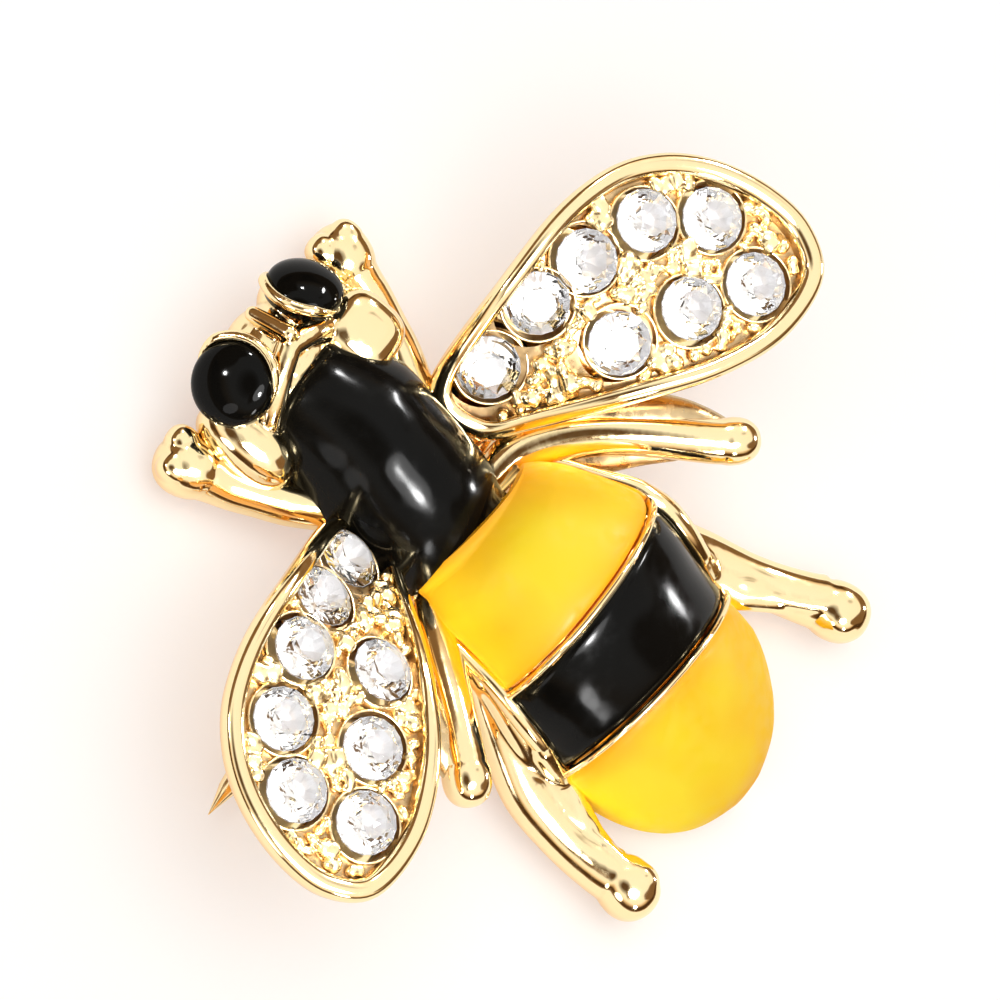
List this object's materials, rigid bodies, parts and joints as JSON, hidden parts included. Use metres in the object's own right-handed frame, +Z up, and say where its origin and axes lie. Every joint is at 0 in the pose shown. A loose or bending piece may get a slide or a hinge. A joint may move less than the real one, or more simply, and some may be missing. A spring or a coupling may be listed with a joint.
{
  "type": "bee brooch",
  "caption": "Cast bee brooch with enamelled body, stone-set wings, cabochon eyes and a plain pin behind.",
  "frame": {"origin": "on the surface that the brooch lies on, under the middle of its bounding box", "axes": "+Z up, away from the surface; +Y from tail to head; +X towards the bee's right wing"},
  "size_m": [0.0316, 0.0268, 0.0069],
  "materials": {
    "gilt_metal": "polished pale gold plating on a cast metal",
    "black_enamel": "glossy black enamel",
    "yellow_enamel": "glossy warm yellow enamel",
    "eye_cabochon": "polished black cabochon",
    "pin_metal": "gold plated wire",
    "clear_stone": "colourless faceted glass, foiled behind"
  },
  "bodies": {
    "root": {"casting": "gilt_metal", "thorax_enamel": "black_enamel", "front_enamel": "yellow_enamel", "band_enamel": "black_enamel", "tail_enamel": "yellow_enamel", "eye_left": "eye_cabochon", "eye_right": "eye_cabochon", "brooch_pin": "pin_metal", "stone_left_1": "clear_stone", "stone_left_2": "clear_stone", "stone_left_3": "clear_stone", "stone_left_4": "clear_stone", "stone_left_5": "clear_stone", "stone_left_6": "clear_stone", "stone_left_7": "clear_stone", "stone_left_8": "clear_stone", "stone_right_1": "clear_stone", "stone_right_2": "clear_stone", "stone_right_3": "clear_stone", "stone_right_4": "clear_stone", "stone_right_5": "clear_stone", "stone_right_6": "clear_stone", "stone_right_7": "clear_stone", "stone_right_8": "clear_stone"}
  },
  "joints": []
}
